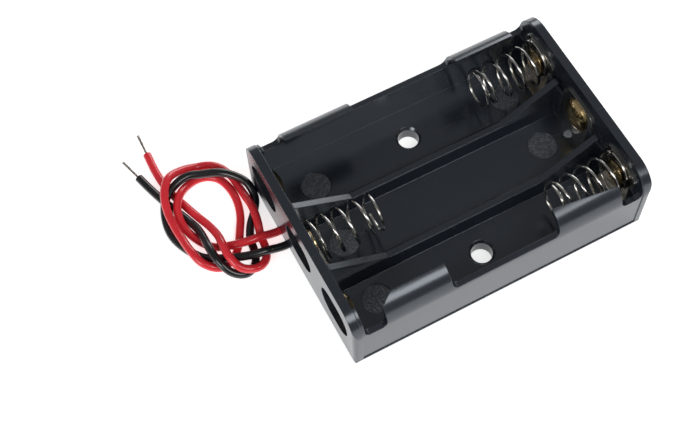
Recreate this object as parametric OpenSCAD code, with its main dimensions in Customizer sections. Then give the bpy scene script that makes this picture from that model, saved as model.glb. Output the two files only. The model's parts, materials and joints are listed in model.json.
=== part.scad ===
// Battery holder for three AAA cells side by side, with two wire leads.
// The cells lie along X in three bays, the leads leave at -X, and Z = 0 is the
// underside of the base cover. All sizes are in millimetres.

/* [Cells] */
// Diameter of one cell
cell_d = 10.5; // [9:0.1:15]
// Length of one cell over its terminals
cell_l = 44.5; // [36:0.5:60]
// Distance between the centre lines of neighbouring cells
pitch = 12; // [11.5:0.1:18]
// Gap between an outer cell and the side wall
cell_gap = 0.1; // [0.05:0.05:0.5]

/* [Case] */
// Thickness of the side walls
wall_t = 1; // [0.8:0.1:1.6]
// Thickness of the end walls
end_wall_t = 1.5; // [1.2:0.1:2.5]
// How far the end walls stand proud of the side walls
flange = 0.15; // [0.05:0.05:0.4]
// Thickness of the bay floors
floor_t = 1.4; // [1.2:0.1:2]
// Height of the case top above the cells
top_gap = 0.7; // [0.4:0.1:1.5]
// Radius of the long upper edges of the case
corner_r = 4.3; // [3.5:0.1:6]
// How far round the upper edge the side lips reach, in degrees
lip_angle = 76; // [50:1:80]
// Height of the low middle of each divider above the bay floor
divider_low = 1.8; // [1:0.1:3]
// Height of the raised ends of each divider above the bay floor
divider_high = 7.4; // [5:0.1:9]
// Length of the low middle of each divider
divider_low_l = 28; // [16:1:34]

/* [Side walls] */
// Length of the finger scoop in the middle of each side wall
scoop_l = 18.8; // [10:0.2:24]
// How far the back scoop's middle is from the case's middle
back_scoop_x = 0.9; // [0:0.1:1.5]
// How far the front scoop's middle is from the case's middle
front_scoop_x = 0.2; // [0:0.1:1.5]
// Height of the front wall under its scoop
front_scoop_z = 10.1; // [7:0.1:12]
// Height of the back wall under its scoop
back_scoop_z = 9.2; // [7:0.1:12]
// Length of the small notch beside each end wall
notch_l = 3.8; // [2:0.1:5]
// Height of the side walls under those notches
notch_z = 9.2; // [8:0.1:11]
// Corner radius of the scoops and notches
notch_r = 1.2; // [0.5:0.1:1.7]

/* [Mounting] */
// Diameter of the two mounting holes
mount_d = 3.5; // [2.5:0.1:4.5]
// Diameter of the countersink at the top of each mounting hole
countersink_d = 4.3; // [3:0.1:6]
// Diameter of the small through hole beside the middle button
vent_d = 1.6; // [1:0.1:1.6]

/* [Contacts] */
// Thickness of the contact plates
plate_t = 0.3; // [0.2:0.05:0.4]
// Width of one contact plate
plate_w = 8.6; // [7.8:0.1:9.2]
// Height of a positive contact button above its plate
button_h = 1.4; // [0.8:0.1:1.8]
// Diameter of a positive contact button
button_d = 5.8; // [4.5:0.1:7]
// Diameter of the spring wire
spring_wire = 0.5; // [0.4:0.05:0.7]
// Bare edge of the plate on each side of the spring's widest turn
spring_margin = 0.4; // [0.3:0.05:0.7]
// Outside diameter of a spring at its tip
spring_tip_d = 6.8; // [6.2:0.1:7.4]
// Length of a spring when its bay is empty
spring_free_l = 11.8; // [8:0.1:15]
// Length of a spring when its cell is in
spring_fit_l = 3; // [3:0.1:5]
// Turns of a spring between its flat base and its end ring
spring_turns = 4.25; // [3:0.25:6]

/* [Base cover] */
// Thickness of the base cover
base_t = 1.2; // [1.1:0.1:2]
// How far the cover's underside is drawn in all round
base_draft = 0.3; // [0.2:0.1:1]
// Diameter of the pegs that locate the cover
peg_d = 1.6; // [1:0.1:2]

/* [Leads] */
// Outside diameter of a lead
lead_d = 1.4; // [1:0.1:1.6]
// Diameter of the tinned conductor
core_d = 0.4; // [0.3:0.05:0.8]
// Length of bare conductor at a free end
bare_l = 4.2; // [2:0.1:8]
// Distance of the red lead's exit from the case centre line
red_exit_y = 7.4; // [6:0.1:9]
// Distance of the black lead's exit from the case centre line
black_exit_y = 4.6; // [3:0.1:5.4]

/* [Hidden] */
$fn = 64;

// Small clearances
slide_gap = 0.05;
touch_gap = 0.02;
cut = 1;

// Heights
floor_z = base_t + floor_t;
cell_z = floor_z + cell_d / 2;
case_h = floor_z + cell_d + top_gap;
arch_z = case_h - flange - corner_r;

// Half widths and lengths
side_y = pitch + cell_d / 2 + cell_gap + wall_t;
half_w = side_y + flange;
arch_y = side_y - corner_r;
lip_y = arch_y + corner_r * cos(lip_angle);
in_x = plate_t + (button_h + cell_l + spring_fit_l) / 2;
half_l = in_x + end_wall_t;
plate_x = in_x - plate_t;
corner_v = 0.8;

// Where the notches beside the left and right end walls start
left_notch_gap = 0.5;
right_notch_gap = 0.1;
NOTCH_X = [-in_x + left_notch_gap, in_x - right_notch_gap - notch_l];

// How far the right-hand front lip narrows, and the corner cut off the left-hand one
lip_taper = 1.3;
lip_corner_l = 2.2;
lip_corner_w = 1.6;

// Bays from back to front, and the side on which each spring stands
BAYS = [1, 0, -1];
SPRING_SIDE = [1, -1, 1];

// Dividers
divider_t = 1.1;
divider_foot = 3;
divider_foot_h = 1.4;

// Windows in the end walls, behind the contact plates
window_h = 6;
window_w = 8.4;

// Guides that hold the contact plates
guide_t = 0.55;
guide_lap = 0.45;
guide_h = 6.5;
plate_h = 8.7;
plate_corner = 2;
strap_z = 2.6;
strap_h = 2.6;
slot_x = in_x - plate_t - slide_gap;

// Feet and tails of the contacts
foot_l = 2;
foot_w = 6;
tail_w = 3;
tail_l = 3;

// Rivets
shank_r = 1.1;
tail_r = 1.8;
rivet_tail_h = 0.5;
rivet_head_r = 2.3;
rivet_rim_h = 0.2;
rivet_dome_h = 0.5;
button_rim_h = 0.25;

// Springs
wire_r = spring_wire / 2;
spring_base_d = plate_w - 2 * spring_margin;
spring_r0 = spring_base_d / 2 - wire_r;
spring_r1 = spring_tip_d / 2 - wire_r;
spring_eye_r = shank_r + wire_r + slide_gap;
spiral_turns = 1.1;
spring_steps = 18;
spring_sides = 8;
tip_angle = 260;
tip_start = 0.5;

// Marks left on the bay floors: two in each bay, at x and this far inwards
mark_r = 2.5;
mark_depth = 0.15;
MARKS = [
  [-17.6, 0.75], [18, 0.9], [-18.3, 0], [18.7, 0.3], [-18.3, 0.9], [18.3, 0.9]
];

// Distance of the vent from the right-hand end wall
vent_inset = 1.1;

// Pegs of the base cover
peg_h = 0.9;
peg_x = in_x - 4.2;
peg_y = side_y - wall_t - 1.6;

// Wire channels between the case and the base cover
lead_r = lead_d / 2;
lead_z = lead_r + 0.55;
channel_w = lead_d + 0.2;
channel_top = lead_z + lead_r + slide_gap;
channel_bottom = lead_z - lead_r - slide_gap;
pocket_l = 3.8;
pocket_w = 4;
tab_z = channel_top - plate_t;
solder_r = 1;
solder_x = in_x - 2.2;
solder_gap = 1.8;
bend_r = 2.8;

// A quarter turn of a hidden lead, from angle a0 to a1
function turn(x, y, a0, a1) = [
  for (a = [a0, (a0 + a1) / 2, a1])
    [x + bend_r * cos(a), y + bend_r * sin(a), lead_z]
];

// Hidden stretches of the leads, along their channels
RED_INNER = concat(
  [[-solder_x, pitch - solder_gap, lead_z]],
  turn(-solder_x - bend_r, red_exit_y + bend_r, -15, -80),
  [[-half_l, red_exit_y, lead_z]]
);
BLACK_INNER = concat(
  [[solder_x, -pitch + solder_gap, lead_z]],
  turn(solder_x - bend_r, -pitch / 2 - bend_r, 0, 90),
  turn(-solder_x + 6.6, -pitch / 2 + bend_r, 270, 180),
  turn(-solder_x + 1, black_exit_y - bend_r, 0, 90),
  [[-half_l, black_exit_y, lead_z]]
);

// Routes of the free leads, beyond the exits on the end wall
RED_ROUTE = [
  [-27.6, 7.4, 1.5], [-29.3, 7.4, 2.2], [-32, 7.6, 2.5], [-34.6, 8.4, 2.1],
  [-36.9, 10, 1], [-38.6, 12.5, 0.7], [-39.6, 15.4, 1.2], [-39.4, 18.1, 2.1],
  [-38, 20.4, 2.2], [-35.8, 22.1, 1.3], [-33.2, 22.6, 0.7], [-31, 21.3, 0.7],
  [-30, 18.9, 0.7], [-29.9, 16, 0.7], [-30.6, 13.2, 0.7], [-31.9, 10.7, 0.7],
  [-33.2, 8.5, 0.7], [-35, 6.7, 0.7], [-37.4, 6.2, 0.8], [-39.6, 7.7, 1.7],
  [-40.5, 10.2, 2.3], [-40.8, 12.9, 2.1], [-41, 15.6, 2.4], [-40.9, 18.4, 3.1],
  [-40.1, 21.1, 3.7], [-38.4, 23.5, 3.5], [-35.8, 24.7, 2.1], [-33, 24.8, 0.8],
  [-30.4, 23.7, 0.7], [-28.9, 21.2, 0.7], [-28.5, 18.4, 0.7], [-28.4, 15.7, 1.3],
  [-28.4, 13.1, 2.2], [-28.7, 10.6, 1.9], [-29.3, 8.2, 0.9], [-29.6, 5.8, 0.7],
  [-30.6, 3.8, 1.1], [-32.5, 2.9, 1.9], [-34.7, 3.7, 2.7], [-35.7, 5.9, 3.6],
  [-35.7, 8.3, 3.7], [-35.6, 10.7, 2.8], [-36, 13.4, 1.8], [-36.8, 16.2, 0.9],
  [-37.7, 18.9, 0.7], [-38.6, 21.6, 0.7], [-39.2, 24.5, 0.7], [-39.4, 27.7, 0.7],
  [-39.3, 31, 0.7]
];
BLACK_ROUTE = [
  [-27.6, 4.6, 1.5], [-29.6, 4.7, 2.2], [-32.2, 5.1, 2.4], [-34.8, 6, 2.3],
  [-37.3, 7.5, 1.7], [-39.4, 9.5, 0.7], [-41, 12.1, 0.7], [-41.9, 15, 0.7],
  [-41.7, 17.9, 1.2], [-40.4, 20.6, 2.2], [-38.2, 22.3, 2.4], [-35.5, 23, 2.5],
  [-32.9, 22.3, 2.3], [-30.4, 21.3, 2.2], [-28.4, 19.6, 2.1], [-27.1, 17.4, 1.8],
  [-27.1, 14.9, 0.8], [-28.4, 12.7, 0.7], [-29.9, 10.8, 0.7], [-31, 8.6, 0.7],
  [-31.4, 6.3, 0.7], [-32.3, 4.2, 0.7], [-34.3, 3.2, 1], [-36.4, 4.2, 1.9],
  [-37.5, 6.5, 3.1], [-37.8, 9, 3.2], [-37.7, 11.4, 2.3], [-37.8, 13.9, 1.4],
  [-38.4, 16.3, 0.7], [-39.4, 18.8, 0.7], [-40.4, 21.4, 0.7], [-41.4, 24.4, 0.7],
  [-42.3, 27.6, 0.7]
];

// Both routes start square to the end wall
function lead_path(exit_y, route) = concat([[-half_l, exit_y, lead_z]], route);

// ---- Vectors ----

function unit(v) = v / norm(v);

function last(list) = list[len(list) - 1];

function path_dir(path, i) =
  unit(path[min(i + 1, len(path) - 1)] - path[max(i - 1, 0)]);

// ---- Shapes used by several parts ----

// A tube swept along a path. up is never along the path.
module sweep(path, r, sides, up = [0, 0, 1]) {
  rings = [
    for (i = [0 : len(path) - 1])
      let (dir = i == 0 ? first_dir(path) : path_dir(path, i))
      let (side = unit(cross(dir, up)))
      let (top = cross(side, dir))
      for (k = [0 : sides - 1])
        path[i] + r * (cos(360 * k / sides) * side + sin(360 * k / sides) * top)
  ];
  last_ring = (len(path) - 1) * sides;
  faces = concat(
    [[for (k = [sides - 1 : -1 : 0]) k]],
    [
      for (i = [0 : len(path) - 2])
        for (k = [0 : sides - 1])
          let (a = i * sides + k)
          let (b = i * sides + (k + 1) % sides)
          [a, b, b + sides, a + sides]
    ],
    [[for (k = [0 : sides - 1]) last_ring + k]]
  );
  polyhedron(points = rings, faces = faces, convexity = 10);
}

// A path that starts on the end wall leaves it square
function first_dir(path) =
  abs(path[0].x) == half_l ? [sign(path[0].x), 0, 0] : path_dir(path, 0);

// Extrudes a shape drawn in Y and Z from x0 to x1
module along_x(x0, x1) {
  translate([x0, 0, 0])
    rotate([90, 0, 90])
      linear_extrude(x1 - x0) children();
}

// Extrudes a shape drawn in X and Z from y0 to y1
module along_y(y0, y1) {
  translate([0, y1, 0])
    rotate([90, 0, 0])
      linear_extrude(y1 - y0) children();
}

// A box from its lowest corner to its highest
module box(low, high) {
  translate(low) cube(high - low);
}

// Places a shape, drawn in a bay's own frame, at the plate on one side of it.
// Its +Z points from the end wall into the bay.
module at_plate(side, bay) {
  translate([side * plate_x, bay * pitch, cell_z])
    rotate([0, -side * 90, 0]) children();
}

// A rectangle with round corners
module round_rect(w, h, r) {
  square([w, h - 2 * r], center = true);
  square([w - 2 * r, h], center = true);
  for (sx = [-1, 1])
    for (sy = [-1, 1])
      translate([sx * (w / 2 - r), sy * (h / 2 - r)]) circle(r);
}

// A round cap on a flat rim
module dome(r, rim_h, dome_h) {
  ball_r = (r * r + dome_h * dome_h) / (2 * dome_h);
  cylinder(h = rim_h, r = r);
  intersection() {
    translate([0, 0, rim_h + dome_h - ball_r]) sphere(ball_r, $fn = 96);
    translate([0, 0, rim_h]) cylinder(h = dome_h + cut, r = r);
  }
}

// A square groove for a lead, along a path and between two heights
module channel(path, z0, z1) {
  for (i = [0 : len(path) - 2]) {
    step = path[i + 1] - path[i];
    translate([path[i].x, path[i].y, z0])
      rotate([0, 0, atan2(step.y, step.x)])
        translate([-channel_w / 3, -channel_w / 2, 0])
          cube([norm(step) + channel_w / 1.5, channel_w, z1 - z0]);
  }
}

// ---- Case ----

// The case seen from its end, with the upper edges rounded
module case_section(grow) {
  y = side_y + grow;
  translate([-y, base_t]) square([2 * y, arch_z - base_t]);
  translate([-arch_y, base_t]) square([2 * arch_y, arch_z + corner_r + grow - base_t]);
  for (s = [-1, 1])
    translate([s * arch_y, arch_z]) circle(corner_r + grow, $fn = 96);
}

// The two side walls, with lips that reach over the outer cells
module side_walls() {
  along_x(-in_x - cut / 2, in_x + cut / 2)
    difference() {
      case_section(0);
      case_section(-wall_t);
      translate([-lip_y, 0]) square([2 * lip_y, case_h + cut]);
      translate([-side_y + wall_t, 0]) square([2 * (side_y - wall_t), arch_z]);
    }
}

// A notch in a side wall, from x0 to x1 and up from z
module notch(x0, x1, z) {
  r = notch_r;
  translate([x0 + r, z]) square([x1 - x0 - 2 * r, case_h]);
  translate([x0, z + r]) square([x1 - x0, case_h]);
  for (x = [x0 + r, x1 - r]) translate([x, z + r]) circle(r);
}

// The finger scoop and both small notches of one side wall
module side_cuts(s, scoop_x, scoop_z) {
  y0 = s > 0 ? lip_y - cut : -side_y - cut;
  along_y(y0, y0 + side_y - lip_y + 2 * cut) {
    notch(scoop_x - scoop_l / 2, scoop_x + scoop_l / 2, scoop_z);
    for (x = NOTCH_X) notch(x, x + notch_l, notch_z);
  }
}

// The right-hand front lip narrows towards the end wall, and the left-hand one
// loses its outer corner
module lip_trims() {
  x0 = front_scoop_x + scoop_l / 2;
  x1 = NOTCH_X[1];
  x2 = NOTCH_X[0] + notch_l;
  translate([0, 0, arch_z + corner_r / 3])
    linear_extrude(corner_r) {
      polygon([[x0, -lip_y + cut], [x0, -lip_y], [x1, -lip_y - lip_taper], [x1 + cut, -lip_y + cut]]);
      polygon([
        [x2 - cut, -lip_y + cut], [x2 + lip_corner_l, -lip_y],
        [x2, -lip_y - lip_corner_w], [x2 - cut, -lip_y - lip_corner_w]
      ]);
    }
}

module end_wall(side) {
  x0 = side > 0 ? in_x : -half_l;
  along_x(x0, x0 + end_wall_t)
    difference() {
      case_section(flange);
      for (bay = BAYS)
        translate([bay * pitch, cell_z]) round_rect(window_w, window_h, window_h / 2 - 0.01);
    }
}

// A divider between two bays, low in the middle and ramped up to both ends
module divider(s) {
  top = floor_z + divider_high;
  low = floor_z + divider_low;
  intersection() {
    along_x(-in_x, in_x)
      translate([s * pitch / 2, floor_z]) {
        translate([-divider_t / 2, 0]) square([divider_t, divider_high]);
        polygon([
          [-divider_foot / 2, 0], [divider_foot / 2, 0],
          [divider_t / 2, divider_foot_h], [-divider_t / 2, divider_foot_h]
        ]);
      }
    along_y(-pitch, pitch)
      polygon([
        [-in_x, base_t], [in_x, base_t], [in_x, top], [in_x - 0.8, top],
        [divider_low_l / 2, low], [-divider_low_l / 2, low],
        [-in_x + 0.8, top], [-in_x, top]
      ]);
  }
}

// Two upright guides that hold one contact plate against the end wall
module plate_guides(side, bay) {
  for (s = [-1, 1])
    translate([0, bay * pitch + s * plate_w / 2, floor_z])
      mirror([side > 0 ? 0 : 1, 0, 0])
        mirror([0, s > 0 ? 0 : 1, 0]) {
          reach = (pitch - divider_t - plate_w) / 2 + slide_gap;
          box([slot_x - guide_t, -guide_lap, 0], [slot_x, reach, guide_h]);
          box([slot_x, slide_gap, 0], [in_x + slide_gap, reach, guide_h]);
        }
}

// The slot that a strap drops into where it crosses from bay to bay
module strap_slot(side, bay_a, bay_b) {
  x = side > 0 ? slot_x : -in_x;
  box([x, bay_b * pitch, floor_z + strap_z - slide_gap],
      [x + in_x - slot_x, bay_a * pitch, case_h - wall_t]);
}

// The slit and the pocket under it for a contact's solder tail
module tail_pocket(side, bay) {
  mirror([side > 0 ? 0 : 1, 0, 0]) {
    box([slot_x, bay * pitch - tail_w / 2 - slide_gap, base_t - cut],
        [in_x, bay * pitch + tail_w / 2 + slide_gap, floor_z + cut]);
    box([in_x - pocket_l, bay * pitch - pocket_w / 2, base_t - cut],
        [in_x, bay * pitch + pocket_w / 2, channel_top + slide_gap]);
  }
}

module mount_holes(z0, z1) {
  for (s = [-1, 1])
    translate([0, s * pitch, z0]) cylinder(h = z1 - z0, d = mount_d);
}

module vent_hole(z0, z1) {
  translate([in_x - vent_inset, 0, z0]) cylinder(h = z1 - z0, d = vent_d);
}

module floor_cuts() {
  sink_h = (countersink_d - mount_d) / 2;
  mount_holes(base_t - cut, floor_z + cut);
  vent_hole(base_t - cut, floor_z + cut);
  for (s = [-1, 1])
    translate([0, s * pitch, floor_z - sink_h])
      cylinder(h = sink_h + touch_gap, d1 = mount_d, d2 = countersink_d + 2 * touch_gap);
  for (i = [0 : len(MARKS) - 1]) {
    bay = BAYS[floor(i / 2)];
    translate([MARKS[i].x, bay * (pitch - MARKS[i].y), floor_z - mark_depth])
      cylinder(h = mark_depth + cut, r = mark_r);
  }
  for (sx = [-1, 1])
    for (sy = [-1, 1])
      translate([sx * peg_x, sy * peg_y, base_t - cut])
        cylinder(h = peg_h + 0.1 + cut, d = peg_d + 2 * touch_gap);
}

module case() {
  color([0.09, 0.1, 0.12])
    difference() {
      intersection() {
        union() {
          difference() {
            side_walls();
            side_cuts(1, back_scoop_x, back_scoop_z);
            side_cuts(-1, front_scoop_x, front_scoop_z);
            lip_trims();
          }
          box([-in_x - cut / 2, -side_y, base_t], [in_x + cut / 2, side_y, floor_z]);
          for (side = [-1, 1]) {
            end_wall(side);
            for (bay = BAYS) plate_guides(side, bay);
          }
          for (s = [-1, 1]) divider(s);
        }
        linear_extrude(case_h + cut) round_rect(2 * half_l, 2 * half_w, corner_v);
      }
      strap_slot(1, 1, 0);
      strap_slot(-1, 0, -1);
      tail_pocket(-1, 1);
      tail_pocket(1, -1);
      floor_cuts();
      channel(lead_path_in(RED_INNER), base_t - cut, channel_top);
      channel(lead_path_in(BLACK_INNER), base_t - cut, channel_top);
    }
}

// A channel runs on through the end wall
function lead_path_in(path) = concat(path, [last(path) - [cut, 0, 0]]);

// ---- Base cover ----

module base_cover() {
  x = half_l;
  y = half_w;
  color([0.07, 0.08, 0.09])
    difference() {
      union() {
        intersection() {
          linear_extrude(base_t) round_rect(2 * x, 2 * y, corner_v);
          along_x(-half_l, half_l) drafted(y);
          along_y(-half_w, half_w) drafted(x);
        }
        for (sx = [-1, 1])
          for (sy = [-1, 1])
            translate([sx * peg_x, sy * peg_y, base_t - touch_gap])
              cylinder(h = peg_h + touch_gap, d = peg_d);
      }
      mount_holes(-cut, base_t + cut);
      vent_hole(-cut, base_t + cut);
      channel(lead_path_in(RED_INNER), channel_bottom, base_t + cut);
      channel(lead_path_in(BLACK_INNER), channel_bottom, base_t + cut);
      for (side = [-1, 1])
        translate([side * solder_x, -side * pitch, channel_bottom])
          cylinder(h = base_t + cut, r = solder_r + 0.4);
    }
}

// The edge of the cover, drawn in towards its underside
module drafted(half) {
  rim_h = 0.25;
  polygon([
    [-half + base_draft, 0], [half - base_draft, 0], [half, base_t - rim_h],
    [half, base_t], [-half, base_t], [-half, base_t - rim_h]
  ]);
}

// ---- Contacts ----

// One contact plate against the end wall, with a hole for its rivet
module plate(side, bay) {
  x0 = side > 0 ? plate_x : -in_x;
  r = plate_corner;
  along_x(x0, x0 + plate_t)
    translate([bay * pitch, floor_z + touch_gap])
      difference() {
        union() {
          translate([-plate_w / 2, 0]) square([plate_w, plate_h - r]);
          translate([-plate_w / 2 + r, 0]) square([plate_w - 2 * r, plate_h]);
          for (s = [-1, 1])
            translate([s * (plate_w / 2 - r), plate_h - r]) circle(r);
        }
        translate([0, cell_d / 2 - touch_gap]) circle(shank_r + touch_gap);
      }
}

// A foot bent inwards from a plate, flat on the bay floor
module plate_foot(side, bay) {
  mirror([side > 0 ? 0 : 1, 0, 0])
    box([plate_x - foot_l, bay * pitch - foot_w / 2, floor_z + touch_gap],
        [in_x, bay * pitch + foot_w / 2, floor_z + touch_gap + plate_t]);
}

// A plate's tail, down through the floor and bent inwards under it
module plate_tail(side, bay) {
  mirror([side > 0 ? 0 : 1, 0, 0]) {
    box([plate_x, bay * pitch - tail_w / 2, tab_z],
        [in_x - touch_gap, bay * pitch + tail_w / 2, floor_z + plate_t]);
    box([in_x - tail_l, bay * pitch - tail_w / 2, tab_z],
        [in_x - touch_gap, bay * pitch + tail_w / 2, tab_z + plate_t]);
  }
}

// A strap joins the spring of one bay to the button of the next
module strap(side, spring_bay, button_bay) {
  x0 = side > 0 ? plate_x : -in_x;
  y0 = min(spring_bay, button_bay) * pitch + plate_w / 2 - cut;
  y1 = max(spring_bay, button_bay) * pitch - plate_w / 2 + cut;
  color([0.8, 0.8, 0.78]) {
    plate(side, spring_bay);
    plate(side, button_bay);
    plate_foot(side, spring_bay);
    box([x0, y0, floor_z + strap_z], [x0 + plate_t, y1, floor_z + strap_z + strap_h]);
  }
}

module strap_right() {
  strap(1, 1, 0);
}

module strap_left() {
  strap(-1, 0, -1);
}

module terminal_positive() {
  color([0.8, 0.8, 0.78]) {
    plate(-1, 1);
    plate_tail(-1, 1);
  }
}

module terminal_negative() {
  color([0.8, 0.8, 0.78]) {
    plate(1, -1);
    plate_foot(1, -1);
    plate_tail(1, -1);
  }
}

// The turned-over tail of a rivet, in the window behind the plate
module rivet_tail() {
  translate([0, 0, -plate_t - rivet_tail_h]) {
    cylinder(h = plate_t + rivet_tail_h + touch_gap, r = shank_r);
    cylinder(h = rivet_tail_h, r = tail_r);
  }
}

module button(side, bay) {
  color([0.75, 0.6, 0.3])
    at_plate(side, bay) {
      rivet_tail();
      dome(button_d / 2, button_rim_h, button_h - button_rim_h);
    }
}

module button_back() {
  button(-SPRING_SIDE[0], BAYS[0]);
}

module button_middle() {
  button(-SPRING_SIDE[1], BAYS[1]);
}

module button_front() {
  button(-SPRING_SIDE[2], BAYS[2]);
}

// Three identical rivets, each through the eye of a spring
module spring_rivets() {
  color([0.75, 0.6, 0.3])
    for (i = [0 : 2])
      at_plate(SPRING_SIDE[i], BAYS[i]) {
        rivet_tail();
        cylinder(h = spring_wire + 2 * touch_gap, r = shank_r);
        translate([0, 0, spring_wire + 2 * touch_gap])
          dome(rivet_head_r, rivet_rim_h, rivet_dome_h);
      }
}

// ---- Springs ----

// Height of the wire's centre at the flat base, and at the end ring
spring_z0 = wire_r + touch_gap;
spring_ring_z = spring_free_l - wire_r;
spring_z1 = spring_ring_z;

// A spring's wire, as an eye round the rivet, a flat spiral and a tapering coil
function spring_point(turn) =
  turn < spiral_turns
    ? let (f = turn / spiral_turns)
      let (r = spring_eye_r + f * (spring_r0 - spring_eye_r))
      [r * cos(360 * turn), r * sin(360 * turn), spring_z0]
    : let (f = (turn - spiral_turns) / spring_turns)
      let (r = spring_r0 + f * (spring_r1 - spring_r0))
      let (rise = f - sin(180 * f) * sin(180 * f) * 0.02)
      [r * cos(360 * turn), r * sin(360 * turn), spring_z0 + rise * (spring_z1 - spring_z0)];

module spring(i) {
  all_turns = spiral_turns + spring_turns;
  steps = ceil(all_turns * spring_steps);
  path = [for (k = [0 : steps]) spring_point(all_turns * k / steps)];
  color([0.82, 0.82, 0.8])
    at_plate(SPRING_SIDE[i], BAYS[i])
      sweep(path, wire_r, spring_sides);
}

// The closed end ring of a spring, which bears on the cell
module spring_tip(i) {
  color([0.85, 0.85, 0.83])
    at_plate(SPRING_SIDE[i], BAYS[i])
      translate([0, 0, spring_ring_z])
        rotate([0, 0, 360 * (spiral_turns + spring_turns) + tip_start])
          rotate_extrude(angle = tip_angle)
            translate([spring_r1, 0]) circle(wire_r, $fn = 24);
}

module spring_back() {
  spring(0);
}

module spring_middle() {
  spring(1);
}

module spring_front() {
  spring(2);
}

module spring_tip_back() {
  spring_tip(0);
}

module spring_tip_middle() {
  spring_tip(1);
}

module spring_tip_front() {
  spring_tip(2);
}

// ---- Solder joints and leads ----

// A solder joint that hangs under a contact's tail, with the lead's end in it
module solder(side, bay) {
  color([0.7, 0.7, 0.72])
    translate([side * solder_x, bay * pitch, 0]) {
      translate([0, 0, channel_bottom + slide_gap])
        cylinder(h = tab_z - channel_bottom - slide_gap, r = solder_r);
      translate([0, 0, lead_z])
        rotate([bay * 90, 0, 0])
          cylinder(h = solder_gap, d = core_d);
    }
}

module solder_positive() {
  solder(-1, 1);
}

module solder_negative() {
  solder(1, -1);
}

module red_lead_inner() {
  color([0.75, 0.08, 0.1]) sweep(RED_INNER, lead_r, 8);
}

module black_lead_inner() {
  color([0.06, 0.06, 0.07]) sweep(BLACK_INNER, lead_r, 8);
}

module red_lead() {
  color([0.75, 0.08, 0.1]) sweep(lead_path(red_exit_y, RED_ROUTE), lead_r, 8);
}

module black_lead() {
  color([0.06, 0.06, 0.07]) sweep(lead_path(black_exit_y, BLACK_ROUTE), lead_r, 8);
}

// The bare end of a lead, straight on from its insulation
module lead_core(route) {
  n = len(route) - 1;
  dir = unit(route[n] - route[n - 1]);
  color([0.75, 0.75, 0.77])
    sweep([route[n], route[n] + bare_l * dir], core_d / 2, 8);
}

module red_lead_core() {
  lead_core(RED_ROUTE);
}

module black_lead_core() {
  lead_core(BLACK_ROUTE);
}

// ---- Assembly ----

case();
base_cover();
strap_right();
strap_left();
terminal_positive();
terminal_negative();
button_back();
button_middle();
button_front();
spring_rivets();
spring_back();
spring_middle();
spring_front();
spring_tip_back();
spring_tip_middle();
spring_tip_front();
solder_positive();
solder_negative();
red_lead_inner();
black_lead_inner();
red_lead();
red_lead_core();
black_lead();
black_lead_core();
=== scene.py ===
"""Looks for a three-cell AAA battery holder with a red and a black lead."""

import json
import math

import bpy
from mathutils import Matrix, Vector


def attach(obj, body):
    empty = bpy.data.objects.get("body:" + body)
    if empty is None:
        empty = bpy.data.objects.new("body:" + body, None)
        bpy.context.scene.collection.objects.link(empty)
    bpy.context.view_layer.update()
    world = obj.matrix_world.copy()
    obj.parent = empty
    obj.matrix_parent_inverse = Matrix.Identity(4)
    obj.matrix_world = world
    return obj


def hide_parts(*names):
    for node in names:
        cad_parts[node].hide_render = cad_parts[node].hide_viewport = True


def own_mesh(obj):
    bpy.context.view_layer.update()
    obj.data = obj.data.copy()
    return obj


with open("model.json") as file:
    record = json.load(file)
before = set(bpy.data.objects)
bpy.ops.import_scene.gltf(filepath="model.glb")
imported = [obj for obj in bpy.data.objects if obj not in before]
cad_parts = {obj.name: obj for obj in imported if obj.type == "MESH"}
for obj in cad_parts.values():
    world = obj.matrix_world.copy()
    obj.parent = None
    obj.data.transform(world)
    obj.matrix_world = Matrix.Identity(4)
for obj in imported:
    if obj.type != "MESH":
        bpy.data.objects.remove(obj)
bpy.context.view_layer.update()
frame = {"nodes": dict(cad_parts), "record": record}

MM = 0.001
scene = bpy.context.scene

# ---- Sizes from part.scad, in millimetres ----

PITCH = 12.0
CELL_Z = 7.85
PLATE_X = 24.45
HALF_L = 26.25
FLOOR_Z = 2.6
MARK_R = 2.5
WIRE_R = 0.25
EYE_R = 1.4
BASE_R = 3.65
TIP_R = 3.15
BASE_H = 0.27
RING_H = 11.55
SPIRAL_TURNS = 1.1
SPRING_TURNS = 4.25
LEAD_D = 1.4
CORE_D = 0.4
BARE_L = 4.2

# Soft edge of a rough mark's finish, and how far below the floor that finish reaches
MARK_EDGE = 0.15
MARK_DEPTH = 0.4

# Share of the coil's length by which its middle sits nearer the plate
COIL_SAG = 0.02

# How finely the springs and strands are drawn
BASE_STEPS = 44
COIL_STEPS = 170
WIRE_SIDES = 14
STRANDS = 7
STRAND_STEPS = 14
STRAND_SIDES = 8

# Rough marks on the bay floors, left and right in the back, middle and front bay
MARKS = [(-17.6, 11.25), (18, 11.1), (-18.3, 0), (18.7, 0), (-18.3, -11.1), (18.3, -11.1)]

# Bay name, place across the holder, and the end its spring stands at
SPRINGS = [("back", 1, 1), ("middle", 0, -1), ("front", -1, 1)]

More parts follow.
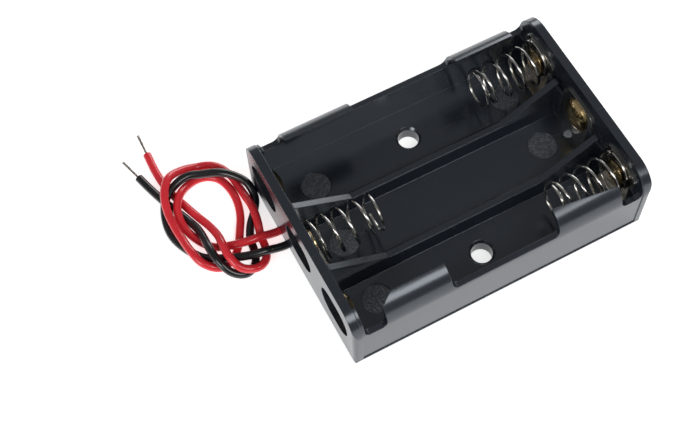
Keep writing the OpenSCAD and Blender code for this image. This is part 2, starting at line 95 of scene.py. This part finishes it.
RED_EXIT = (-HALF_L, 7.4, 1.25)
RED_ROUTE = [
    (-27.6, 7.4, 1.5), (-29.3, 7.4, 2.2), (-32, 7.6, 2.5), (-34.6, 8.4, 2.1),
    (-36.9, 10, 1), (-38.6, 12.5, 0.7), (-39.6, 15.4, 1.2), (-39.4, 18.1, 2.1),
    (-38, 20.4, 2.2), (-35.8, 22.1, 1.3), (-33.2, 22.6, 0.7), (-31, 21.3, 0.7),
    (-30, 18.9, 0.7), (-29.9, 16, 0.7), (-30.6, 13.2, 0.7), (-31.9, 10.7, 0.7),
    (-33.2, 8.5, 0.7), (-35, 6.7, 0.7), (-37.4, 6.2, 0.8), (-39.6, 7.7, 1.7),
    (-40.5, 10.2, 2.3), (-40.8, 12.9, 2.1), (-41, 15.6, 2.4), (-40.9, 18.4, 3.1),
    (-40.1, 21.1, 3.7), (-38.4, 23.5, 3.5), (-35.8, 24.7, 2.1), (-33, 24.8, 0.8),
    (-30.4, 23.7, 0.7), (-28.9, 21.2, 0.7), (-28.5, 18.4, 0.7), (-28.4, 15.7, 1.3),
    (-28.4, 13.1, 2.2), (-28.7, 10.6, 1.9), (-29.3, 8.2, 0.9), (-29.6, 5.8, 0.7),
    (-30.6, 3.8, 1.1), (-32.5, 2.9, 1.9), (-34.7, 3.7, 2.7), (-35.7, 5.9, 3.6),
    (-35.7, 8.3, 3.7), (-35.6, 10.7, 2.8), (-36, 13.4, 1.8), (-36.8, 16.2, 0.9),
    (-37.7, 18.9, 0.7), (-38.6, 21.6, 0.7), (-39.2, 24.5, 0.7), (-39.4, 27.7, 0.7),
    (-39.3, 31, 0.7),
]
BLACK_EXIT = (-HALF_L, 4.6, 1.25)
BLACK_ROUTE = [
    (-27.6, 4.6, 1.5), (-29.6, 4.7, 2.2), (-32.2, 5.1, 2.4), (-34.8, 6, 2.3),
    (-37.3, 7.5, 1.7), (-39.4, 9.5, 0.7), (-41, 12.1, 0.7), (-41.9, 15, 0.7),
    (-41.7, 17.9, 1.2), (-40.4, 20.6, 2.2), (-38.2, 22.3, 2.4), (-35.5, 23, 2.5),
    (-32.9, 22.3, 2.3), (-30.4, 21.3, 2.2), (-28.4, 19.6, 2.1), (-27.1, 17.4, 1.8),
    (-27.1, 14.9, 0.8), (-28.4, 12.7, 0.7), (-29.9, 10.8, 0.7), (-31, 8.6, 0.7),
    (-31.4, 6.3, 0.7), (-32.3, 4.2, 0.7), (-34.3, 3.2, 1), (-36.4, 4.2, 1.9),
    (-37.5, 6.5, 3.1), (-37.8, 9, 3.2), (-37.7, 11.4, 2.3), (-37.8, 13.9, 1.4),
    (-38.4, 16.3, 0.7), (-39.4, 18.8, 0.7), (-40.4, 21.4, 0.7), (-41.4, 24.4, 0.7),
    (-42.3, 27.6, 0.7),
]


# ---- Camera ----

def add_camera():
    """Looks down on the top, the lead end and the front from high on the left."""
    azimuth, elevation = math.radians(-27.04), math.radians(63.95)
    roll = math.radians(-1.39)
    distance, aside, along = 201.6, -12.2, -10.4
    back = Vector((
        math.sin(azimuth) * math.cos(elevation),
        -math.cos(azimuth) * math.cos(elevation),
        math.sin(elevation),
    ))
    level = Vector((math.cos(azimuth), math.sin(azimuth), 0))
    upright = back.cross(level)
    right = math.cos(roll) * level + math.sin(roll) * upright
    up = math.cos(roll) * upright - math.sin(roll) * level
    place = Vector((0, 0, 6)) + distance * back + aside * right + along * up
    data = bpy.data.cameras.new("camera")
    data.sensor_fit = "HORIZONTAL"
    data.sensor_width = 36
    data.lens = 64.85
    data.shift_x = -0.027
    data.shift_y = 0.047
    data.clip_start = 0.01
    data.clip_end = 10
    camera = bpy.data.objects.new("camera", data)
    scene.collection.objects.link(camera)
    matrix = camera.matrix_world.copy()
    for i in range(3):
        matrix[i][0], matrix[i][1], matrix[i][2] = right[i], up[i], back[i]
        matrix[i][3] = place[i] * MM
    camera.matrix_world = matrix
    scene.camera = camera


add_camera()


# ---- Node materials ----

class Shader:
    """A material with one Principled shader and short calls for its nodes."""

    def __init__(self, name, colour, roughness, metallic=0.0):
        self.material = bpy.data.materials.new(name)
        self.material.use_nodes = True
        self.material.diffuse_color = (*colour, 1)
        self.tree = self.material.node_tree
        self.shader = self.tree.nodes["Principled BSDF"]
        self.shader.inputs["Base Color"].default_value = (*colour, 1)
        self.shader.inputs["Roughness"].default_value = roughness
        self.shader.inputs["Metallic"].default_value = metallic
        self.place = self.node("ShaderNodeTexCoord").outputs["Object"]

    def node(self, kind, **settings):
        made = self.tree.nodes.new(kind)
        for key, value in settings.items():
            setattr(made, key, value)
        return made

    def link(self, value, socket):
        if isinstance(value, (int, float)):
            socket.default_value = value
        elif isinstance(value, tuple):
            socket.default_value = (*value, 1) if len(socket.default_value) == 4 else value
        else:
            self.tree.links.new(value, socket)

    def maths(self, operation, a, b=0.0, c=0.0):
        made = self.node("ShaderNodeMath", operation=operation)
        for i, value in enumerate((a, b, c)):
            self.link(value, made.inputs[i])
        return made.outputs[0]

    def noise(self, scale, detail=3.0, stretch=None):
        made = self.node("ShaderNodeTexNoise")
        made.inputs["Scale"].default_value = scale
        made.inputs["Detail"].default_value = detail
        if stretch is None:
            self.link(self.place, made.inputs["Vector"])
        else:
            shaped = self.node("ShaderNodeMapping")
            shaped.inputs["Scale"].default_value = stretch
            self.link(self.place, shaped.inputs["Vector"])
            self.link(shaped.outputs[0], made.inputs["Vector"])
        return made.outputs["Fac"]

    def between(self, value, low, high, to_low, to_high):
        made = self.node("ShaderNodeMapRange")
        limits = {"From Min": low, "From Max": high, "To Min": to_low, "To Max": to_high}
        for key, number in limits.items():
            self.link(number, made.inputs[key])
        self.link(value, made.inputs["Value"])
        return made.outputs["Result"]

    def mix(self, factor, a, b):
        made = self.node("ShaderNodeMix", data_type="RGBA")
        self.link(factor, made.inputs[0])
        self.link(a, made.inputs[6])
        self.link(b, made.inputs[7])
        return made.outputs[2]

    def bump(self, height, depth, strength=1.0, normal=None):
        made = self.node("ShaderNodeBump")
        made.inputs["Strength"].default_value = strength
        made.inputs["Distance"].default_value = depth
        self.link(height, made.inputs["Height"])
        if normal is not None:
            self.link(normal, made.inputs["Normal"])
        return made.outputs["Normal"]

    def soft_edges(self, radius):
        made = self.node("ShaderNodeBevel", samples=6)
        made.inputs["Radius"].default_value = radius
        return made.outputs["Normal"]

    def set(self, **values):
        for key, value in values.items():
            self.link(value, self.shader.inputs[key.replace("_", " ")])


def moulded_plastic():
    """Black ABS: satin, with flow marks, light scuffs along it and rough marks in the bays."""
    s = Shader("moulded_black_plastic", (0.012, 0.0135, 0.017), 0.3)
    axes = s.node("ShaderNodeSeparateXYZ")
    s.link(s.place, axes.inputs[0])
    x, y, z = axes.outputs
    away = 1.0
    for mark_x, mark_y in MARKS:
        dx = s.maths("SUBTRACT", x, mark_x * MM)
        dy = s.maths("SUBTRACT", y, mark_y * MM)
        reach = s.maths("SQRT", s.maths("ADD", s.maths("MULTIPLY", dx, dx), s.maths("MULTIPLY", dy, dy)))
        away = s.maths("MINIMUM", away, reach)
    inside = s.between(away, MARK_R * MM, (MARK_R - MARK_EDGE) * MM, 0.0, 1.0)
    low = s.maths("LESS_THAN", z, (FLOOR_Z + 0.02) * MM)
    high = s.maths("GREATER_THAN", z, (FLOOR_Z - MARK_DEPTH) * MM)
    mark = s.maths("MULTIPLY", inside, s.maths("MULTIPLY", low, high))
    speckle = s.between(s.noise(2600, 2), 0.44, 0.62, 0.0, 1.0)
    broad = s.noise(70, 4)
    grain = s.noise(5200, 2)
    scuffs = s.between(s.noise(1.0, 3, (90, 2400, 2400)), 0.66, 0.78, 0.0, 1.0)
    dust = s.between(s.noise(1700, 1), 0.74, 0.8, 0.0, 1.0)
    ground = s.mix(broad, (0.01, 0.013, 0.019), (0.014, 0.018, 0.026))
    scuffed = s.mix(s.maths("MULTIPLY", scuffs, 0.35), ground, (0.05, 0.052, 0.056))
    dusted = s.mix(s.maths("MULTIPLY", dust, 0.12), scuffed, (0.16, 0.16, 0.15))
    pale = s.maths("MULTIPLY", mark, s.between(speckle, 0, 1, 0.35, 1.0))
    marked = s.mix(pale, dusted, (0.085, 0.092, 0.102))
    rough = s.maths("ADD", s.between(broad, 0.3, 0.7, 0.17, 0.26), s.maths("MULTIPLY", scuffs, 0.12))
    rough = s.maths("ADD", rough, s.maths("MULTIPLY", mark, 0.25))
    edges = s.soft_edges(0.16 * MM)
    fine = s.bump(grain, 0.000004, 0.5, edges)
    coarse = s.bump(s.maths("MULTIPLY", speckle, mark), 0.00006, 0.6, fine)
    s.set(Base_Color=marked, Roughness=rough, Normal=coarse)
    s.set(Specular_IOR_Level=1.0, Specular_Tint=(0.86, 0.93, 1.0))
    return s.material


def plated_strip():
    """Nickel-plated spring steel: fine rolling lines and a slightly warm stain."""
    s = Shader("plated_strip", (0.62, 0.6, 0.55), 0.25, 1.0)
    lines = s.noise(1.0, 3, (300, 9000, 300))
    stain = s.between(s.noise(300, 3), 0.45, 0.75, 0.0, 1.0)
    s.set(
        Base_Color=s.mix(stain, (0.68, 0.665, 0.62), (0.55, 0.5, 0.42)),
        Roughness=s.between(lines, 0.3, 0.7, 0.14, 0.26),
        Normal=s.bump(lines, 0.000003, 0.3, s.soft_edges(0.06 * MM)),
    )
    return s.material


def bright_wire():
    """Bright plated spring wire, drawn smooth, with darker spots of handling."""
    s = Shader("bright_wire", (0.72, 0.71, 0.68), 0.18, 1.0)
    spots = s.between(s.noise(500, 3), 0.5, 0.8, 0.0, 1.0)
    s.set(
        Base_Color=s.mix(spots, (0.6, 0.59, 0.57), (0.42, 0.4, 0.36)),
        Roughness=s.between(s.noise(1500, 2), 0.3, 0.7, 0.08, 0.18),
        Normal=s.bump(s.noise(5000, 2), 0.000001, 0.3),
    )
    return s.material


def rivet_brass():
    """Brass, turned smooth and a little tarnished."""
    s = Shader("rivet_brass", (0.7, 0.5, 0.22), 0.22, 1.0)
    tarnish = s.between(s.noise(400, 3), 0.45, 0.78, 0.0, 1.0)
    s.set(
        Base_Color=s.mix(tarnish, (0.82, 0.63, 0.33), (0.6, 0.42, 0.2)),
        Roughness=s.between(s.noise(2000, 2), 0.3, 0.7, 0.12, 0.22),
        Normal=s.bump(s.noise(4500, 2), 0.000002, 0.3, s.soft_edges(0.1 * MM)),
    )
    return s.material


def tinned_copper():
    """Tinned copper strand, dull, with bare copper showing in patches."""
    s = Shader("tinned_copper", (0.42, 0.4, 0.38), 0.32, 1.0)
    patch = s.between(s.noise(1500, 3), 0.4, 0.7, 0.0, 1.0)
    s.set(
        Base_Color=s.mix(patch, (0.46, 0.44, 0.42), (0.3, 0.23, 0.18)),
        Roughness=s.between(s.noise(6000, 2), 0.3, 0.7, 0.25, 0.45),
        Normal=s.bump(s.noise(8000, 2), 0.000006, 0.5),
    )
    return s.material


def lead_jacket(name, bright, dull):
    """Soft PVC: glossy, with slow waves from the extruder and faint rub marks."""
    s = Shader(name, bright, 0.25)
    broad = s.noise(260, 3)
    rubbed = s.between(s.noise(1400, 3), 0.6, 0.78, 0.0, 1.0)
    rough = s.maths("ADD", s.between(broad, 0.3, 0.7, 0.17, 0.28), s.maths("MULTIPLY", rubbed, 0.12))
    waves = s.bump(s.noise(700, 2), 0.00002, 0.35)
    s.set(
        Base_Color=s.mix(s.between(broad, 0.35, 0.75, 0.0, 1.0), bright, dull),
        Roughness=rough,
        Normal=s.bump(s.noise(6000, 2), 0.000003, 0.4, waves),
    )
    s.set(Coat_Weight=0.25, Coat_Roughness=0.12)
    return s.material


PLASTIC = moulded_plastic()
STRIP = plated_strip()
WIRE = bright_wire()
BRASS = rivet_brass()
TINNED = tinned_copper()
RED = lead_jacket("red_jacket", (0.84, 0.03, 0.045), (0.74, 0.02, 0.032))
BLACK = lead_jacket("black_jacket", (0.007, 0.007, 0.009), (0.012, 0.012, 0.014))

FINISHES = {
    "black_plastic": PLASTIC, "nickel": STRIP, "brass": BRASS, "spring_wire": WIRE,
    "solder": TINNED, "red_pvc": RED, "black_pvc": BLACK,
}
for part in frame["record"]["subparts"]:
    node = frame["nodes"][part["node"]]
    for slot in node.material_slots:
        slot.material = FINISHES[part["material_slot"]]


# ---- Leads ----

def metres(points):
    """Points in millimetres as vectors in metres."""
    return [Vector(p) * MM for p in points]


def smooth_curve(name, points, diameter, material, lowest):
    """A round tube on one Bezier spline that never dips below its resting height."""
    data = bpy.data.curves.new(name, "CURVE")
    data.dimensions = "3D"
    data.resolution_u = 8
    data.bevel_depth = diameter / 2
    data.bevel_resolution = 5
    data.use_fill_caps = True
    spline = data.splines.new("BEZIER")
    spline.bezier_points.add(len(points) - 1)
    for i, (knot, p) in enumerate(zip(spline.bezier_points, points)):
        before, after = points[max(i - 1, 0)], points[min(i + 1, len(points) - 1)]
        way = (after - before).normalized()
        if i == 0:
            way = Vector((-1, 0, 0))
        left = p - way * (p - before).length / 3
        right = p + way * (after - p).length / 3
        left.z, right.z = max(left.z, lowest), max(right.z, lowest)
        knot.co, knot.handle_left, knot.handle_right = p, left, right
        knot.handle_left_type = knot.handle_right_type = "FREE"
    data.materials.append(material)
    made = bpy.data.objects.new(name, data)
    scene.collection.objects.link(made)
    return made


def tube_mesh(name, paths, radius, sides, material):
    """One mesh of round tubes with capped ends, each along its own list of points."""
    verts, faces = [], []
    for path in paths:
        base = len(verts)
        side = None
        for i, p in enumerate(path):
            way = (path[min(i + 1, len(path) - 1)] - path[max(i - 1, 0)]).normalized()
            if side is None:
                side = way.orthogonal().normalized()
            side = (side - way * side.dot(way)).normalized()
            other = way.cross(side)
            for k in range(sides):
                a = 2 * math.pi * k / sides
                verts.append(p + radius * (math.cos(a) * side + math.sin(a) * other))
        for i in range(len(path) - 1):
            for k in range(sides):
                a, b = base + i * sides + k, base + i * sides + (k + 1) % sides
                faces.append((a, b, b + sides, a + sides))
        faces.append(tuple(base + k for k in reversed(range(sides))))
        faces.append(tuple(base + (len(path) - 1) * sides + k for k in range(sides)))
    mesh = bpy.data.meshes.new(name)
    mesh.from_pydata(verts, [], faces)
    mesh.polygons.foreach_set("use_smooth", [len(f) == 4 for f in faces])
    mesh.materials.append(material)
    made = bpy.data.objects.new(name, mesh)
    scene.collection.objects.link(made)
    return made


def bare_strands(name, start, way):
    """Seven tinned strands twisted together, a little splayed at the cut end."""
    strand_r = CORE_D / 6 * MM
    side = way.orthogonal().normalized()
    other = way.cross(side)
    paths = []
    for k in range(STRANDS):
        path = []
        for i in range(STRAND_STEPS + 1):
            f = i / STRAND_STEPS
            ring = 0 if k == 0 else (2 + 0.7 * f * f) * strand_r
            turn = 2 * math.pi * (k / (STRANDS - 1) + 1.1 * f)
            reach = (f * (BARE_L - 0.25 * (k % 3)) - 0.3 * (1 - f)) * MM
            path.append(start + reach * way + ring * (math.cos(turn) * side + math.sin(turn) * other))
        paths.append(path)
    return tube_mesh(name, paths, strand_r, STRAND_SIDES, TINNED)


def add_lead(colour, exit_point, route, material):
    """A jacket along its route, with its bare strands at the far end."""
    points = metres([exit_point] + route)
    jacket = smooth_curve(f"{colour}_lead_jacket", points, LEAD_D * MM, material, LEAD_D / 2 * MM)
    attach(jacket, "holder")
    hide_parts(f"{colour}_lead")
    way = (points[-1] - points[-2]).normalized()
    strands = bare_strands(f"{colour}_lead_strands", points[-1], way)
    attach(strands, "holder")
    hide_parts(f"{colour}_lead_core")


add_lead("red", RED_EXIT, RED_ROUTE, RED)
add_lead("black", BLACK_EXIT, BLACK_ROUTE, BLACK)


# ---- Springs ----

def from_plate(side, bay, x, y, z):
    """A point in a bay's own frame, whose z runs from the contact plate into the bay."""
    return Vector((side * (PLATE_X - z), bay * PITCH + y, CELL_Z + side * x)) * MM


def add_spring(name, bay, side):
    """A riveted base spiral and a conical coil, both fixed to the holder."""
    base, coil = [], []
    for i in range(BASE_STEPS + 1):
        f = i / BASE_STEPS
        r, a = EYE_R + f * (BASE_R - EYE_R), 2 * math.pi * SPIRAL_TURNS * f
        base.append(from_plate(side, bay, r * math.cos(a), r * math.sin(a), BASE_H))
    for i in range(COIL_STEPS + 1):
        f = i / COIL_STEPS
        r = BASE_R + f * (TIP_R - BASE_R)
        a = 2 * math.pi * (SPIRAL_TURNS + SPRING_TURNS * f)
        rise = f - COIL_SAG * math.sin(math.pi * f) ** 2
        z = BASE_H + rise * (RING_H - BASE_H)
        coil.append(from_plate(side, bay, r * math.cos(a), r * math.sin(a), z))
    eye = tube_mesh(f"spring_{name}_eye", [base], WIRE_R * MM, WIRE_SIDES, WIRE)
    wire = tube_mesh(f"spring_{name}_coil", [coil], WIRE_R * MM, WIRE_SIDES, WIRE)
    for piece in (eye, wire):
        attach(piece, "holder")
    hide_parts(f"spring_{name}")
    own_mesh(wire)


for spring_name, spring_bay, spring_side in SPRINGS:
    add_spring(spring_name, spring_bay, spring_side)


# ---- Floor and light ----

def add_floor():
    """A pale table that glows, so that shadows on it stay faint."""
    s = Shader("pale_floor", (0.9, 0.9, 0.9), 0.5)
    s.set(Roughness=s.between(s.noise(30, 3), 0.3, 0.7, 0.45, 0.6), Specular_IOR_Level=0.1)
    s.set(Emission_Color=(1.0, 1.0, 1.0), Emission_Strength=0.72)
    mesh = bpy.data.meshes.new("floor")
    r = 3.0
    mesh.from_pydata([(-r, -r, 0), (r, -r, 0), (r, r, 0), (-r, r, 0)], [], [(0, 1, 2, 3)])
    mesh.materials.append(s.material)
    floor = bpy.data.objects.new("floor", mesh)
    scene.collection.objects.link(floor)


def add_light(name, place, size, energy, target=(0, 0, 0.005)):
    """A soft rectangular lamp that faces the target."""
    data = bpy.data.lights.new(name, "AREA")
    data.shape = "RECTANGLE"
    data.size, data.size_y = size
    data.energy = energy
    light = bpy.data.objects.new(name, data)
    light.location = place
    light.rotation_euler = (Vector(target) - Vector(place)).to_track_quat("-Z", "Y").to_euler()
    scene.collection.objects.link(light)


add_floor()
add_light("key", (0.45, 0.5, 0.28), (0.5, 0.3), 1.7)
add_light("fill", (0.14, -0.42, 0.56), (0.3, 0.3), 1.3)
add_light("side", (-0.55, -0.3, 0.4), (0.3, 0.3), 1.6)

world = bpy.data.worlds.new("studio")
world.use_nodes = True
world.node_tree.nodes["Background"].inputs["Color"].default_value = (1, 1, 1, 1)
world.node_tree.nodes["Background"].inputs["Strength"].default_value = 0.22
scene.world = world
scene.view_settings.view_transform = "Standard"
